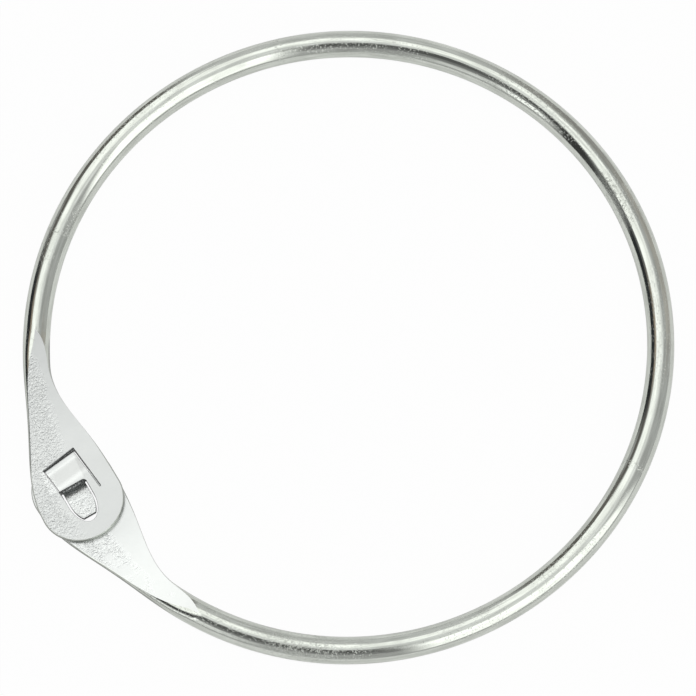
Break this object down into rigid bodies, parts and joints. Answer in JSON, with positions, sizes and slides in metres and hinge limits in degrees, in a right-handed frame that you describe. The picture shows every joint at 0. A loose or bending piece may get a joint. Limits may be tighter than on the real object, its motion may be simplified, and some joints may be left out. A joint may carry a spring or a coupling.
{
  "type": "key ring",
  "caption": "Large wire key ring with flattened, lapped ends that snap together by a raised tab in a window and a pressed-down tongue in a slot.",
  "frame": {"origin": "centre of the ring, in the middle plane of the wire", "axes": "+Z along the ring's axis, off the side that shows the window; the latch is at -Y; the ring lies flat on the wire"},
  "size_m": [0.0762, 0.0793, 0.0032],
  "materials": {
    "plated_wire": "bright nickel plating, mirror-like on the round wire and satin with a stippled die texture on the flattened ends"
  },
  "bodies": {
    "root": {"key_ring": "plated_wire"}
  },
  "joints": []
}
